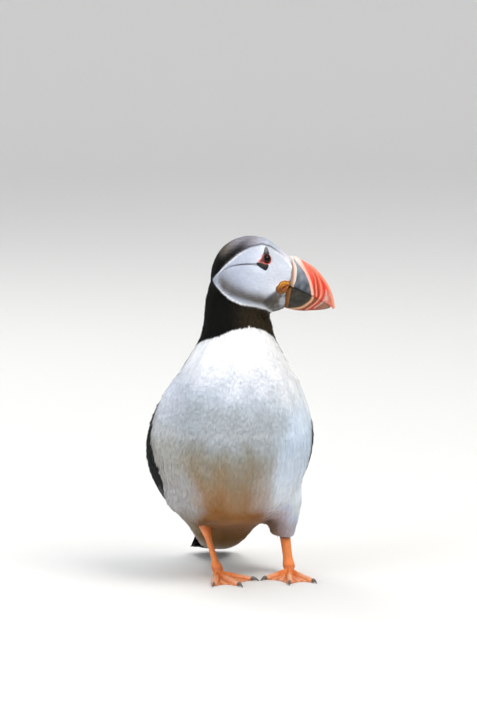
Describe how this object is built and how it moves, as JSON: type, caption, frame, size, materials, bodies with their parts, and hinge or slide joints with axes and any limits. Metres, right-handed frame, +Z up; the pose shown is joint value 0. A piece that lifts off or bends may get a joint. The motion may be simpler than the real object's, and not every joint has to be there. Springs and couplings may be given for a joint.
{
  "type": "atlantic puffin",
  "caption": "Life-size Atlantic puffin standing upright with its head turned to its left, with a triangular banded bill and webbed feet.",
  "frame": {"origin": "on the floor, at the centre of the bird's footprint box (bottom centre of the bounding box)", "axes": "+Z up, the longest extent; -Y is the way that the breast faces; +X is the bird's left, which the bill points to"},
  "size_m": [0.1164, 0.1696, 0.2219],
  "materials": {
    "black_plumage": "soft black feathers, satin",
    "white_plumage": "soft white feathers, matt",
    "grey_white_face": "fine pale grey and white feathers, matt",
    "bill_horn": "horn: slate at the base, red-orange at the tip, satin",
    "cere": "cream waxy skin, satin",
    "orange_skin": "scaled orange skin, satin",
    "yellow_rosette": "wrinkled orange-yellow skin, satin",
    "dark_claw": "dark grey horn, satin",
    "slate_plate": "slate-coloured horny plate, satin",
    "red_eye_ring": "red waxy skin, satin",
    "eye": "dark brown wet eye, polished"
  },
  "bodies": {
    "root": {"bill_cere": "cere", "bill_lower": "bill_horn", "bill_upper": "bill_horn", "claw_left_inner": "dark_claw", "claw_left_middle": "dark_claw", "claw_left_outer": "dark_claw", "claw_right_inner": "dark_claw", "claw_right_middle": "dark_claw", "claw_right_outer": "dark_claw", "eye_left": "eye", "eye_plate_lower_left": "slate_plate", "eye_plate_lower_right": "slate_plate", "eye_plate_upper_left": "slate_plate", "eye_plate_upper_right": "slate_plate", "eye_right": "eye", "eye_ring_left": "red_eye_ring", "eye_ring_right": "red_eye_ring", "foot_left": "orange_skin", "foot_right": "orange_skin", "gape_rosette_left": "yellow_rosette", "gape_rosette_right": "yellow_rosette", "head": "grey_white_face", "neck": "black_plumage", "shank_left": "orange_skin", "shank_right": "orange_skin", "tail": "black_plumage", "thigh_left": "white_plumage", "thigh_right": "white_plumage", "trunk": "white_plumage", "wing_left": "black_plumage", "wing_right": "black_plumage", "wing_tip_left": "black_plumage", "wing_tip_right": "black_plumage"}
  },
  "joints": []
}
